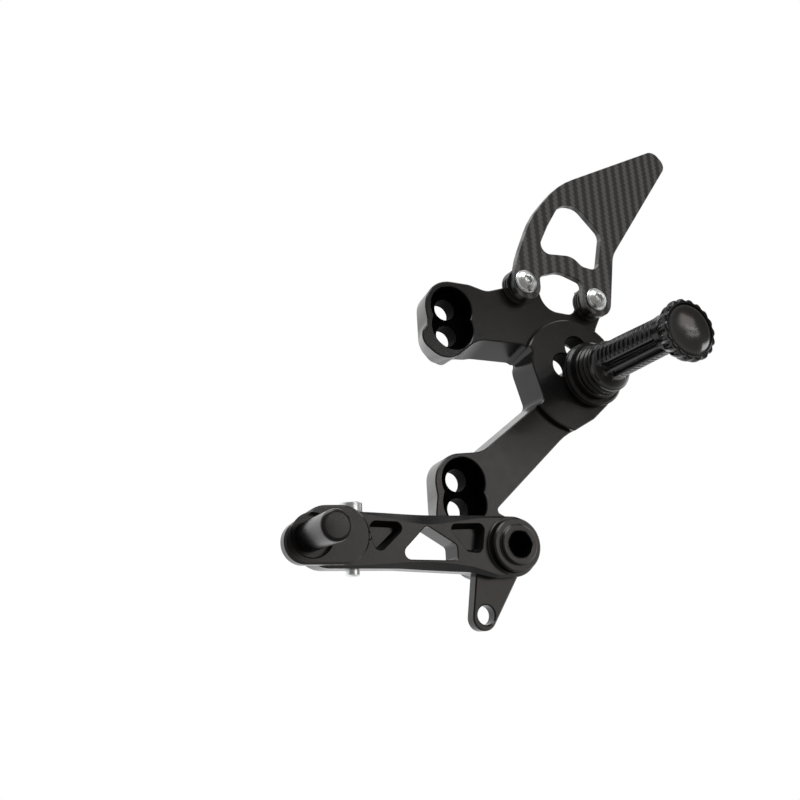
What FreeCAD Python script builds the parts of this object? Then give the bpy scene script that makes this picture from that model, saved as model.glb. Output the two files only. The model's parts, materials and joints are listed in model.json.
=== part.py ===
import FreeCAD, Part
import math
import os
import Sketcher
from FreeCAD import Placement, Rotation, Vector

# Shift-side rear foot-peg assembly of a motorcycle (a "rearset"), in millimetres.
# Row frame: +X points to the rear of the motorcycle, +Z up, -Y away from the motorcycle.
# The origin is midway between the two upper frame holes, on the face that meets the frame.
# Every sub-part is drawn looking at the motorcycle from outside: sketch x is row X, sketch y is
# row Z, and sketch normals point outboard, so "depth" is the distance outboard of the frame face.

# ---------------------------------------------------------------- driving dimensions
SIZES = {
    # bracket plate
    "plate_deep": 17.0,
    "boss_proud": 3.0,
    "boss_radius": 30.0,
    "boss_x": 68.5,
    "boss_z": -24.5,
    "hollow_x": 70.0,
    "hollow_z": -20.5,
    "hollow_radius": 21.0,
    "hollow_deep": 9.0,
    "frame_pitch": 14.0,
    "frame_span": 87.0,
    "frame_hole_radius": 5.5,
    "pocket_radius": 11.3,
    "pocket_offset": 5.2,
    "pocket_deep": 8.0,
    "pad_radius": 11.3,
    "relief_deep": 6.0,
    "ear_relief_deep": 9.0,
    # foot peg
    "peg_x": 76.8,
    "peg_z": -24.4,
    "peg_bolt_radius": 4.95,
    "peg_hole_radius": 5.25,
    "peg_head_radius": 8.0,
    "peg_head_deep": 10.0,
    "peg_seat_deep": 12.0,
    "peg_seat_radius": 8.6,
    "peg_socket": 8.0,
    "peg_bolt_grip": 22.0,
    "washer_radius": 8.3,
    "washer_thick": 1.6,
    "spare_hole_radius": 6.3,
    "spare_ring_radius": 16.0,
    "flange_radius": 17.0,
    "flange_thick": 5.5,
    "ring_radius": 14.2,
    "ring_thick": 3.0,
    "barrel_long": 57.5,
    "barrel_root_radius": 10.6,
    "barrel_end_radius": 9.4,
    "flute_count": 6,
    "tooth_pitch": 3.4,
    "tooth_deep": 1.0,
    "cap_radius": 14.7,
    "cap_back_radius": 12.2,
    "cap_thick": 7.0,
    "scallop_count": 18,
    "stud_radius": 3.95,
    "stud_hole_radius": 4.0,
    "dowel_radius": 2.5,
    "dowel_hole_radius": 2.55,
    "dowel_long": 7.0,
    "dowel_sunk": 3.8,
    # heel guard
    "ear_pad_radius": 9.5,
    "ear_pad_high": 1.0,
    "spacer_long": 3.5,
    "spacer_radius": 8.9,
    "guard_thick": 3.5,
    "screw_front_x": 39.5,
    "screw_front_z": 21.1,
    "screw_rear_x": 82.9,
    "screw_rear_z": 17.0,
    "screw_radius": 2.95,
    "screw_hole_radius": 3.0,
    "screw_long": 16.0,
    "screw_flange_radius": 6.2,
    "screw_flange_high": 0.9,
    "screw_head_radius": 5.0,
    "screw_head_high": 2.4,
    "screw_socket": 4.0,
    # shift lever
    "pivot_x": 15.2,
    "pivot_z": -113.5,
    "shim_radius": 9.6,
    "shim_thick": 0.5,
    "lever_gap": 1.5,
    "lever_thick": 12.0,
    "hub_ring_radius": 13.2,
    "hub_ring_high": 0.8,
    "bush_radius": 7.98,
    "bush_hole_radius": 8.0,
    "bush_bore_radius": 6.05,
    "bush_long": 5.5,
    "bush_flange_radius": 10.0,
    "bush_flange_thick": 0.7,
    "shoulder_radius": 6.0,
    "pivot_thread_radius": 5.0,
    "pivot_hole_radius": 5.05,
    "bolt_flange_radius": 12.0,
    "bolt_flange_thick": 2.6,
    "bolt_disc_radius": 8.9,
    "bolt_disc_high": 2.0,
    "bolt_socket": 10.0,
    "tab_thick": 6.0,
    "rod_x": 2.4,
    "rod_z": -143.0,
    "rod_hole_radius": 4.25,
    "lever_pocket_deep": 6.0,
    # toe piece
    "clamp_x": -71.5,
    "clamp_z": -110.9,
    "clamp_bore_radius": 8.0,
    "spigot_radius": 7.95,
    "spigot_long": 11.5,
    "pinch_x": -60.1,
    "pinch_radius": 2.95,
    "pinch_hole_radius": 3.0,
    "pinch_seat_z": -98.72,
    "pinch_long": 27.0,
    "pinch_head_radius": 5.0,
    "pinch_head_high": 3.8,
    "pinch_socket": 5.0,
    "carrier_gap": 0.3,
    "carrier_thick": 6.0,
    "toe_x": -81.5,
    "toe_z": -110.4,
    "toe_radius": 6.35,
    "toe_long": 31.0,
    "recess_radius": 8.8,
    "recess_deep": 3.2,
    "toe_stud_radius": 2.45,
    "toe_stud_hole_radius": 2.5,
    "toe_stud_long": 14.0,
}

doc = FreeCAD.newDocument("RearFootPeg")
sheet = doc.addObject("Spreadsheet::Sheet", "Sizes")
for row, (alias, number) in enumerate(SIZES.items(), start=1):
    sheet.set(f"A{row}", alias)
    sheet.set(f"B{row}", str(number))
    sheet.setAlias(f"B{row}", alias)
doc.recompute()


def size(alias):
    """The number behind an alias of the sheet."""
    return float(sheet.get(alias))


def cell(alias):
    """The alias as an expression."""
    return f"Sizes.{alias}"


# ---------------------------------------------------------------- drawing helpers
def new_body(label, x="", depth="", z="", upright=False):
    """A body whose local z points outboard (or up, when upright), placed by expressions."""
    body = doc.addObject("PartDesign::Body", label)
    body.Label = label
    turn = 0 if upright else 90
    body.Placement = Placement(Vector(0, 0, 0), Rotation(Vector(1, 0, 0), turn))
    if x:
        body.setExpression("Placement.Base.x", x)
    if depth:
        body.setExpression("Placement.Base.y", f"-({depth})")
    if z:
        body.setExpression("Placement.Base.z", z)
    return body


def new_sketch(body, name, height="", plane="XY_Plane"):
    """A sketch on one of the body's own origin planes, lifted along its normal."""
    sketch = body.newObject("Sketcher::SketchObject", f"{body.Label}_{name}")
    origin_plane = [f for f in body.Origin.OriginFeatures if f.Role == plane][0]
    sketch.AttachmentSupport = (origin_plane, [""])
    sketch.MapMode = "FlatFace"
    if height:
        sketch.setExpression("AttachmentOffset.Base.z", height)
    return sketch


def draw_circle(sketch, radius, x=0.0, y=0.0):
    """A circle; radius, x and y are numbers or aliases, and an alias stays bound to its cell."""
    numbers = [size(v) if isinstance(v, str) else float(v) for v in (radius, x, y)]
    centre = Vector(numbers[1], numbers[2], 0)
    edge = sketch.addGeometry(Part.Circle(centre, Vector(0, 0, 1), numbers[0]), False)
    if isinstance(radius, str):
        bind(sketch, Sketcher.Constraint("Radius", edge, numbers[0]), radius)
    if isinstance(x, str):
        bind(sketch, Sketcher.Constraint("DistanceX", -1, 1, edge, 3, numbers[1]), x)
    if isinstance(y, str):
        bind(sketch, Sketcher.Constraint("DistanceY", -1, 1, edge, 3, numbers[2]), y)


def bind(sketch, constraint, alias):
    """Adds a constraint whose value follows a cell of the sheet."""
    index = sketch.addConstraint(constraint)
    sketch.setExpression(f"Constraints[{index}]", cell(alias))


def draw_loop(sketch, corners):
    """A closed outline of straight runs joined by tangent arcs: each corner is (x, y, radius)."""
    count = len(corners)
    starts, mids, ends = [], [], []
    for i, (x, y, radius) in enumerate(corners):
        here = Vector(x, y, 0)
        back = (Vector(*corners[i - 1][:2], 0) - here).normalize()
        ahead = (Vector(*corners[(i + 1) % count][:2], 0) - here).normalize()
        half = back.getAngle(ahead) / 2
        reach = radius / math.tan(half)
        to_centre = (back + ahead).normalize() if radius else Vector(0, 0, 0)
        starts.append(here + back * reach)
        ends.append(here + ahead * reach)
        mids.append(here + to_centre * (radius / math.sin(half) - radius) if radius else here)
    for i in range(count):
        if corners[i][2]:
            sketch.addGeometry(Part.Arc(starts[i], mids[i], ends[i]), False)
        following = starts[(i + 1) % count]
        if (following - ends[i]).Length > 1e-4:
            sketch.addGeometry(Part.LineSegment(ends[i], following), False)


def pad(sketch, length):
    """Adds material outboard of the sketch."""
    feature = sketch.getParentGeoFeatureGroup().newObject("PartDesign::Pad", sketch.Name + "_pad")
    feature.Profile = sketch
    feature.setExpression("Length", length)
    sketch.Visibility = False
    doc.recompute()
    return feature


def cut(sketch, length="", outboard=False, both_ways=False):
    """Removes material inboard of the sketch, outboard of it, or right through both ways."""
    body = sketch.getParentGeoFeatureGroup()
    before = body.Shape.Volume
    feature = body.newObject("PartDesign::Pocket", sketch.Name + "_cut")
    feature.Profile = sketch
    if length:
        feature.setExpression("Length", length)
    else:
        feature.Type = 1
    feature.Reversed = outboard
    feature.Midplane = both_ways
    doc.recompute()
    if not body.Shape.Volume < before - 1e-3:
        raise RuntimeError(f"{feature.Name} removed nothing")
    return feature


def turned(sketch, remove=False):
    """Turns a profile drawn on the XZ plane about the body's local z axis."""
    body = sketch.getParentGeoFeatureGroup()
    before = body.Shape.Volume if remove else 0.0
    kind = "PartDesign::Groove" if remove else "PartDesign::Revolution"
    feature = body.newObject(kind, sketch.Name + "_turned")
    feature.Profile = sketch
    feature.ReferenceAxis = (sketch, ["V_Axis"])
    feature.Angle = 360
    doc.recompute()
    if remove and not body.Shape.Volume < before - 1e-3:
        raise RuntimeError(f"{feature.Name} removed nothing")
    return feature


def around(body, feature, count):
    """Repeats a feature about the body's local z axis."""
    pattern = body.newObject("PartDesign::PolarPattern", feature.Name + "_around")
    pattern.Originals = [feature]
    z_axis = [f for f in body.Origin.OriginFeatures if f.Role == "Z_Axis"][0]
    pattern.Axis = (z_axis, [""])
    pattern.Angle = 360
    pattern.setExpression("Occurrences", count)
    body.Tip = pattern
    doc.recompute()
    return pattern


def hexagon(sketch, across_flats, x=0.0, y=0.0):
    """A socket's hexagon, one corner up."""
    reach = across_flats / math.sqrt(3)
    angles = [math.radians(90 + 60 * i) for i in range(6)]
    draw_loop(sketch, [(x + reach * math.cos(a), y + reach * math.sin(a), 0) for a in angles])


def washer(label, inner, outer, thick, **place):
    """A plain washer with its inboard face at the body's origin."""
    body = new_body(label, **place)
    sketch = new_sketch(body, "section")
    draw_circle(sketch, outer)
    draw_circle(sketch, inner)
    pad(sketch, cell(thick))
    return body


# ---------------------------------------------------------------- where things stand
boss_front = f"{cell('plate_deep')} + {cell('boss_proud')}"
flange_front = f"{boss_front} + {cell('flange_thick')}"
barrel_back = f"{flange_front} + {cell('ring_thick')}"
barrel_front = f"{barrel_back} + {cell('barrel_long')}"
ear_front = f"{cell('plate_deep')} + {cell('ear_pad_high')}"
guard_back = f"{ear_front} + {cell('spacer_long')}"
guard_front = f"{guard_back} + {cell('guard_thick')}"
lever_back = f"{cell('plate_deep')} + {cell('lever_gap')}"
lever_front = f"{lever_back} + {cell('lever_thick')}"
carrier_back = f"{lever_front} + {cell('carrier_gap')}"

# each pair of frame holes: name, height, and how far rearward its relief runs above and below
FRAME_PAIRS = (
    ("upper", 0.0, 12.0, 4.0),
    ("lower", -size("frame_span"), 2.0, -5.0),
)
SPARE_ANGLES = (115, 164)
GUARD_SCREWS = (
    ("screw_front_x", "screw_front_z"),
    ("screw_rear_x", "screw_rear_z"),
)


# ---------------------------------------------------------------- bracket plate
def plate_outline():
    """Corners of the plate seen from outside, clockwise from the top of the upper frame boss."""
    return [
        (-16.8, 19.6, 15.0),
        (11.0, 19.2, 12.0),
        (21.0, 16.8, 10.0),
        (32.2, 20.5, 4.0),
        (38.0, 31.0, 6.5),
        (50.6, 31.0, 9.0),
        (55.6, 11.0, 10.5),
        (73.6, 10.2, 5.0),
        (78.4, 27.0, 6.0),
        (92.9, 27.0, 8.5),
        (92.3, 13.5, 6.0),
        (86.0, 1.8, 5.0),
        (95.5, -12.0, 16.0),
        (94.6, -31.5, 11.0),
        (86.6, -40.2, 8.0),
        (77.0, -47.4, 10.0),
        (59.3, -57.0, 30.0),
        (15.8, -95.5, 2.0),
        (27.8, -101.0, 12.0),
        (27.6, -126.0, 12.5),
        (2.2, -126.0, 12.5),
        (-3.0, -107.5, 4.5),
        (-16.9, -106.0, 9.5),
        (-14.2, -89.0, 7.0),
        (-17.0, -70.2, 14.5),
        (11.0, -67.2, 14.0),
        (47.6, -39.4, 4.0),
        (42.0, -20.0, 10.5),
        (44.8, -10.0, 5.0),
        (14.0, -10.0, 14.0),
        (-4.5, -24.5, 12.0),
        (-20.3, -12.0, 7.2),
        (-13.6, -4.2, 5.8),
    ]


def pocket_corners(z_mid):
    """The two overlapping round pockets for the heads of a pair of frame bolts, as arcs."""
    radius = size("pocket_radius")
    offset = size("pocket_offset")
    waist = math.sqrt(radius**2 - offset**2)
    left = Vector(-waist, z_mid, 0)
    right = Vector(waist, z_mid, 0)
    top = Vector(0, z_mid + offset + radius, 0)
    bottom = Vector(0, z_mid - offset - radius, 0)
    return [Part.Arc(left, top, right), Part.Arc(right, bottom, left)]


def make_bracket_plate():
    body = new_body("bracket_plate")
    blank = new_sketch(body, "outline")
    draw_loop(blank, plate_outline())
    pad(blank, boss_front)

    step = new_sketch(body, "step_round_boss", boss_front)
    draw_loop(step, [(-60, 60, 0), (140, 60, 0), (140, -160, 0), (-60, -160, 0)])
    draw_circle(step, "boss_radius", "boss_x", "boss_z")
    cut(step, cell("boss_proud"))

    pads = new_sketch(body, "ear_pads", cell("plate_deep"))
    for x, z in GUARD_SCREWS:
        draw_circle(pads, "ear_pad_radius", x, z)
    pad(pads, cell("ear_pad_high"))

    ears = new_sketch(body, "ear_relief")
    draw_loop(ears, [
        (29.5, 60, 0),
        (29.5, 13.5, 0),
        (34.0, 9.0, 0),
        (79.0, 9.0, 0),
        (87.0, 2.0, 0),
        (120, 2.0, 0),
        (120, 60, 0),
    ])
    cut(ears, cell("ear_relief_deep"), outboard=True)

    for tag, z_mid, top_reach, bottom_reach in FRAME_PAIRS:
        relieve_boss(body, tag, z_mid, top_reach, bottom_reach)
        heads = new_sketch(body, f"{tag}_pocket", cell("plate_deep"))
        heads.addGeometry(pocket_corners(z_mid), False)
        cut(heads, cell("pocket_deep"))
        holes = new_sketch(body, f"{tag}_frame_holes")
        for side in (-0.5, 0.5):
            draw_circle(holes, "frame_hole_radius", 0.0, z_mid + side * size("frame_pitch"))
        cut(holes, both_ways=True)

    hollow = new_sketch(body, "back_hollow")
    draw_circle(hollow, "hollow_radius", "hollow_x", "hollow_z")
    cut(hollow, cell("hollow_deep"), outboard=True)
    seat = new_sketch(body, "peg_bolt_seat")
    draw_circle(seat, "peg_seat_radius", "peg_x", "peg_z")
    cut(seat, cell("peg_seat_deep"), outboard=True)
    through = new_sketch(body, "through_holes")
    draw_circle(through, "peg_hole_radius", "peg_x", "peg_z")
    for angle in SPARE_ANGLES:
        reach = size("spare_ring_radius")
        x = size("peg_x") + reach * math.cos(math.radians(angle))
        z = size("peg_z") + reach * math.sin(math.radians(angle))
        draw_circle(through, "spare_hole_radius", x, z)
    for x, z in GUARD_SCREWS:
        draw_circle(through, "screw_hole_radius", x, z)
    draw_circle(through, "pivot_hole_radius", "pivot_x", "pivot_z")
    cut(through, both_ways=True)
    dowel = new_sketch(body, "dowel_hole", boss_front)
    draw_circle(dowel, "dowel_hole_radius", *dowel_place())
    cut(dowel, f"{cell('dowel_sunk')} + 0.2")


def relieve_boss(body, tag, z_mid, top_reach, bottom_reach):
    """Cuts the forward side of a frame boss back to the round pads that meet the frame."""
    radius = size("pad_radius")
    above = z_mid + size("frame_pitch") / 2 + radius
    below = z_mid - size("frame_pitch") / 2 - radius
    sketch = new_sketch(body, f"{tag}_relief")
    draw_loop(sketch, [
        (-45, above + 22, 0),
        (top_reach, above + 22, 0),
        (top_reach, above, 0),
        (-radius, above, radius - 0.01),
        (-radius, below, radius - 0.01),
        (bottom_reach, below, 0),
        (bottom_reach - 20, below - 20, 0),
        (-45, below - 20, 0),
    ])
    cut(sketch, cell("relief_deep"), outboard=True)


def dowel_place():
    """The dowel that stops the peg turning: on the peg's flange, low and rearward."""
    angle = math.radians(300)
    return (size("peg_x") + 12.0 * math.cos(angle), size("peg_z") + 12.0 * math.sin(angle))


# ---------------------------------------------------------------- heel guard
def guard_outline():
    """Corners of the heel guard, clockwise from the inner side of its front ear."""
    return [
        (30.4, 12.0, 7.9),
        (35.0, 33.3, 60.0),
        (46.3, 59.0, 60.0),
        (66.0, 82.0, 60.0),
        (137.5, 118.6, 6.5),
        (145.9, 110.0, 5.5),
        (98.3, 45.2, 16.0),
        (91.4, 8.0, 8.8),
        (73.8, 8.0, 9.0),
        (75.2, 26.0, 3.0),
        (61.5, 30.3, 14.0),
        (48.7, 26.0, 3.5),
        (48.7, 12.0, 8.4),
    ]


def guard_window():
    """Corners of the window through the heel guard."""
    return [
        (67.0, 70.8, 6.5),
        (78.0, 70.3, 8.0),
        (91.5, 56.5, 6.0),
        (86.1, 34.2, 5.0),
        (76.5, 35.2, 6.0),
        (70.5, 40.4, 10.0),
        (51.8, 39.1, 5.0),
        (51.4, 45.4, 4.0),
        (56.7, 55.6, 14.0),
    ]


def make_heel_guard():
    body = new_body("heel_guard", depth=guard_back)
    outline = new_sketch(body, "outline")
    draw_loop(outline, guard_outline())
    draw_loop(outline, guard_window())
    for x, z in GUARD_SCREWS:
        draw_circle(outline, "screw_hole_radius", x, z)
    pad(outline, cell("guard_thick"))


def make_guard_spacers():
    body = new_body("guard_spacers", depth=ear_front)
    section = new_sketch(body, "section")
    for x, z in GUARD_SCREWS:
        draw_circle(section, "spacer_radius", x, z)
        draw_circle(section, "screw_hole_radius", x, z)
    pad(section, cell("spacer_long"))


def make_guard_screws():
    """Flanged button screws, drawn in pairs from the shank outward."""
    body = new_body("guard_screws", depth=f"{guard_front} - {cell('screw_long')}")
    flange = cell("screw_long")
    head = f"{flange} + {cell('screw_flange_high')}"
    stages = (
        ("screw_radius", "", cell("screw_long")),
        ("screw_flange_radius", flange, cell("screw_flange_high")),
        ("screw_head_radius", head, cell("screw_head_high")),
    )
    for radius, start, long in stages:
        sketch = new_sketch(body, radius, start)
        for x, z in GUARD_SCREWS:
            draw_circle(sketch, radius, x, z)
        pad(sketch, long)
    round_rim(body, "screw_head_radius", 1.6)
    socket = new_sketch(body, "sockets", f"{head} + {cell('screw_head_high')}")
    for x, z in GUARD_SCREWS:
        hexagon(socket, size("screw_socket"), size(x), size(z))
    cut(socket, "1.9")


def round_rim(body, radius, amount):
    """Rounds the outermost circular edges of one radius."""
    tip = body.Tip
    top = tip.Shape.BoundBox.ZMax
    names = []
    for i, edge in enumerate(tip.Shape.Edges, start=1):
        curve = edge.Curve
        if isinstance(curve, Part.Circle) and abs(curve.Radius - size(radius)) < 1e-4:
            if abs(edge.BoundBox.ZMin - top) < 1e-4:
                names.append(f"Edge{i}")
    fillet = body.newObject("PartDesign::Fillet", f"{body.Label}_round")
    fillet.Base = (tip, names)
    fillet.Radius = amount
    doc.recompute()


# ---------------------------------------------------------------- foot peg
def on_peg_axis(label, depth):
    return new_body(label, x=cell("peg_x"), depth=depth, z=cell("peg_z"))


def turn_profile(body, name, corners):
    """A solid of revolution; corners are (radius, height, corner rounding)."""
    sketch = new_sketch(body, name, plane="XZ_Plane")
    draw_loop(sketch, corners)
    return turned(sketch)


def peg_dowel_circle(body, height=""):
    """The dowel's hole, in the coordinates of a body on the peg axis."""
    sketch = new_sketch(body, "dowel_hole", height)
    x, z = dowel_place()
    draw_circle(sketch, "dowel_hole_radius", x - size("peg_x"), z - size("peg_z"))
    return sketch


def make_peg_base_flange():
    body = on_peg_axis("peg_base_flange", boss_front)
    inner, outer, thick = size("peg_hole_radius"), size("flange_radius"), size("flange_thick")
    turn_profile(body, "section", [
        (inner, 0, 0),
        (outer - 0.6, 0, 0),
        (outer, 0.6, 0),
        (outer, thick - 1.3, 0),
        (outer - 1.3, thick, 0),
        (inner, thick, 0),
    ])
    cut(peg_dowel_circle(body), f"{cell('dowel_long')} - {cell('dowel_sunk')} + 0.2", outboard=True)


def make_peg_lock_ring():
    body = on_peg_axis("peg_lock_ring", flange_front)
    inner, outer, thick = size("peg_hole_radius"), size("ring_radius"), size("ring_thick")
    turn_profile(body, "section", [
        (inner, 0, 0),
        (outer - 0.4, 0, 0),
        (outer, 0.4, 0),
        (outer, thick - 0.6, 0),
        (outer - 0.6, thick, 0),
        (inner, thick, 0),
    ])


def barrel_profile():
    """Half section of the peg's barrel: a ridged root, toothed grip, plain collar by the cap."""
    long, pitch, deep = size("barrel_long"), size("tooth_pitch"), size("tooth_deep")
    root, end = size("barrel_root_radius"), size("barrel_end_radius")
    grip_start, grip_count = 12.4, 11
    corners = [
        (size("peg_hole_radius"), 0, 0),
        (13.6, 0, 0),
        (13.6, 2.0, 0.5),
        (12.7, 2.8, 0),
        (13.3, 3.6, 0.4),
        (13.0, 5.4, 0.4),
        (12.2, 6.2, 0),
        (12.6, 7.0, 0.4),
        (12.3, 8.6, 0.4),
        (root - deep, 10.6, 1.0),
    ]
    for i in range(grip_count):
        start = grip_start + i * pitch
        radius = root + (end - root) * (start - grip_start) / (grip_count * pitch)
        corners.append((radius - deep, start - 0.7, 0))
        corners.append((radius, start, 0))
        corners.append((radius - 0.1, start + pitch - 1.5, 0))
        corners.append((radius - deep, start + pitch - 0.8, 0))
    return corners + [
        (end - 0.4, long - 4.6, 0),
        (end, long - 4.2, 0),
        (end, long, 0),
        (size("stud_hole_radius"), long, 0),
        (size("stud_hole_radius"), long - 12.0, 0),
        (0, long - 12.0, 0),
        (0, size("peg_bolt_grip") + 2.0, 0),
        (size("peg_hole_radius"), size("peg_bolt_grip") + 2.0, 0),
    ]


def make_foot_peg():
    body = on_peg_axis("foot_peg", barrel_back)
    turn_profile(body, "half_section", barrel_profile())
    flute = new_sketch(body, "flute", "9.6")
    draw_circle(flute, 3.6, 12.4 * math.cos(math.radians(30)), 12.4 * math.sin(math.radians(30)))
    first = cut(flute, f"{cell('barrel_long')} - 14.8", outboard=True)
    around(body, first, cell("flute_count"))


def make_peg_end_cap():
    """A scalloped cap with a smooth dished face."""
    body = on_peg_axis("peg_end_cap", barrel_front)
    radius, thick, hole = size("cap_radius"), size("cap_thick"), size("stud_hole_radius")
    floor, lip = 2.4, radius - 1.5
    sphere = (lip**2 + (thick - floor) ** 2) / (2 * (thick - floor))
    middle = lip / 2
    bend = floor + sphere - math.sqrt(sphere**2 - middle**2)
    outside = [
        (0, floor),
        (0, 1.4),
        (hole, 1.4),
        (hole, 0),
        (size("cap_back_radius"), 0),
        (radius, thick - 3.2),
        (radius, thick - 0.8),
        (lip, thick),
    ]
    half = new_sketch(body, "half_section", plane="XZ_Plane")
    for start, end in zip(outside, outside[1:]):
        half.addGeometry(Part.LineSegment(Vector(*start, 0), Vector(*end, 0)), False)
    dish = Part.Arc(Vector(lip, thick, 0), Vector(middle, bend, 0), Vector(0, floor, 0))
    half.addGeometry(dish, False)
    turned(half)
    scallop = new_sketch(body, "scallop")
    draw_circle(scallop, 1.7, radius + 0.75, 0.0)
    around(body, cut(scallop, both_ways=True), cell("scallop_count"))


def make_peg_fasteners():
    """The bolt, washer, dowel and stud that hold the foot peg together."""
    washer_back = f"{cell('peg_seat_deep')} - {cell('washer_thick')}"
    washer("peg_bolt_washer", "peg_hole_radius", "washer_radius", "washer_thick", x=cell("peg_x"),
           depth=washer_back, z=cell("peg_z"))

    bolt = on_peg_axis("peg_mount_bolt", f"{washer_back} - {cell('peg_head_deep')}")
    head = size("peg_head_deep")
    shank = size("peg_bolt_radius")
    reach = size("plate_deep") + size("boss_proud") + size("flange_thick") + size("ring_thick")
    reach += size("peg_bolt_grip")
    tip = reach - (size("peg_seat_deep") - size("washer_thick")) + head
    turn_profile(bolt, "section", [
        (0, 0, 0),
        (size("peg_head_radius") - 0.6, 0, 0),
        (size("peg_head_radius"), 0.6, 0),
        (size("peg_head_radius"), head, 0),
        (shank, head, 0),
        (shank, tip - 1.0, 0),
        (shank - 1.0, tip, 0),
        (0, tip, 0),
    ])
    socket = new_sketch(bolt, "socket")
    hexagon(socket, size("peg_socket"))
    cut(socket, "5.2", outboard=True)

    x, z = dowel_place()
    dowel = new_body("peg_dowel", x=str(round(x, 4)), z=str(round(z, 4)),
                     depth=f"{boss_front} - {cell('dowel_sunk')}")
    section = new_sketch(dowel, "section")
    draw_circle(section, "dowel_radius")
    pad(section, cell("dowel_long"))

    stud = on_peg_axis("peg_cap_stud", f"{barrel_front} - 11.8")
    section = new_sketch(stud, "section")
    draw_circle(section, "stud_radius")
    pad(section, "13.0")


# ---------------------------------------------------------------- shift lever
def lever_outline():
    """Corners of the lever's arm seen from outside, clockwise from its clamp end."""
    return [
        (-83.7, -99.1, 11.9),
        (28.8, -100.2, 13.2),
        (28.8, -126.8, 13.4),
        (6.5, -127.5, 8.0),
        (-6.0, -124.8, 12.0),
        (-40.0, -123.0, 30.0),
        (-83.7, -122.8, 11.6),
    ]


def tab_outline():
    """Corners of the tab that hangs below the hub and carries the rod end."""
    return [
        (-0.6, -121.0, 0),
        (24.0, -121.0, 0),
        (4.9, -149.8, 6.2),
        (-5.2, -149.8, 5.6),
    ]


LEVER_POCKETS = (
    [(-55.0, -103.2, 3.0), (-35.6, -103.8, 2.6), (-51.3, -118.0, 3.0)],
    [(-17.8, -104.2, 2.2), (1.6, -103.6, 2.8), (-0.8, -116.6, 3.0), (-8.0, -116.0, 2.6)],
)
LEVER_WINDOW = [
    (-27.5, -104.8, 2.0),
    (-13.2, -113.2, 2.5),
    (-13.2, -119.8, 2.0),
    (-42.6, -119.2, 3.0),
]


def make_shift_lever():
    body = new_body("shift_lever", depth=lever_back)
    tab = new_sketch(body, "tab")
    draw_loop(tab, tab_outline())
    pad(tab, cell("tab_thick"))
    arm = new_sketch(body, "arm")
    draw_loop(arm, lever_outline())
    pad(arm, cell("lever_thick"))
    ring = new_sketch(body, "hub_ring", cell("lever_thick"))
    draw_circle(ring, "hub_ring_radius", "pivot_x", "pivot_z")
    pad(ring, cell("hub_ring_high"))

    for i, corners in enumerate(LEVER_POCKETS, start=1):
        hollow = new_sketch(body, f"pocket_{i}", cell("lever_thick"))
        draw_loop(hollow, corners)
        cut(hollow, cell("lever_pocket_deep"))
    through = new_sketch(body, "through")
    draw_loop(through, LEVER_WINDOW)
    draw_circle(through, "bush_hole_radius", "pivot_x", "pivot_z")
    draw_circle(through, "rod_hole_radius", "rod_x", "rod_z")
    draw_circle(through, "clamp_bore_radius", "clamp_x", "clamp_z")
    cut(through, both_ways=True)
    slot = new_sketch(body, "clamp_slot")
    draw_loop(slot, [(-70.0, -106.8, 0), (-53.8, -106.8, 2.8), (-53.8, -112.6, 2.8), (-70.0, -112.6, 0)])
    cut(slot, both_ways=True)
    pinch = new_sketch(body, "pinch_hole", plane="XZ_Plane")
    draw_circle(pinch, "pinch_hole_radius", "pinch_x", size("lever_thick") / 2)
    cut(pinch, both_ways=True)


def on_pivot(label, depth):
    return new_body(label, x=cell("pivot_x"), depth=depth, z=cell("pivot_z"))


def make_pivot_bush(label, depth, flange_outboard):
    """A flanged bush: the flange rubs on a washer, the sleeve sits in the lever's hub."""
    body = on_pivot(label, depth)
    sleeve = new_sketch(body, "sleeve")
    draw_circle(sleeve, "bush_radius")
    pad(sleeve, f"{cell('bush_long')} + {cell('bush_flange_thick')}")
    start = cell("bush_long") if flange_outboard else ""
    flange = new_sketch(body, "flange", start)
    draw_circle(flange, "bush_flange_radius")
    pad(flange, cell("bush_flange_thick"))
    bore = new_sketch(body, "bore")
    draw_circle(bore, "bush_bore_radius")
    cut(bore, both_ways=True)


def make_pivot_bolt():
    """A shoulder bolt screwed into the plate, with a stepped head and a hexagon socket."""
    body = on_pivot("pivot_bolt", "1.0")
    thread, shoulder = size("pivot_thread_radius"), size("shoulder_radius")
    plate = size("plate_deep") - 1.0
    bush_room = size("hub_ring_high") + size("bush_flange_thick") + 0.3
    under_head = plate + size("lever_gap") + size("lever_thick") + bush_room
    flange = under_head + size("bolt_flange_thick")
    top = flange + size("bolt_disc_high")
    turn_profile(body, "section", [
        (0, 0, 0),
        (thread - 1.0, 0, 0),
        (thread, 1.0, 0),
        (thread, plate, 0),
        (shoulder, plate, 0),
        (shoulder, under_head, 0),
        (size("bolt_flange_radius"), under_head, 0),
        (size("bolt_flange_radius"), flange - 0.5, 0),
        (size("bolt_flange_radius") - 0.5, flange, 0),
        (size("bolt_disc_radius"), flange, 0),
        (size("bolt_disc_radius"), top - 0.6, 0),
        (size("bolt_disc_radius") - 0.6, top, 0),
        (0, top, 0),
    ])
    socket = new_sketch(body, "socket", str(top))
    hexagon(socket, size("bolt_socket"))
    cut(socket, "6.5")


def make_pinch_bolt():
    body = new_body("pinch_bolt", x=cell("pinch_x"), upright=True,
                    depth=f"{lever_back} + {cell('lever_thick')} / 2", z=cell("pinch_seat_z"))
    radius, head = size("pinch_head_radius"), size("pinch_head_high")
    shank, long = size("pinch_radius"), size("pinch_long")
    turn_profile(body, "section", [
        (0, -long, 0),
        (shank - 0.6, -long, 0),
        (shank, 0.6 - long, 0),
        (shank, 0, 0),
        (radius, 0, 0),
        (radius, head - 0.4, 0),
        (radius - 0.4, head, 0),
        (0, head, 0),
    ])
    socket = new_sketch(body, "socket", str(head))
    hexagon(socket, size("pinch_socket"))
    cut(socket, "2.4")


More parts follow.
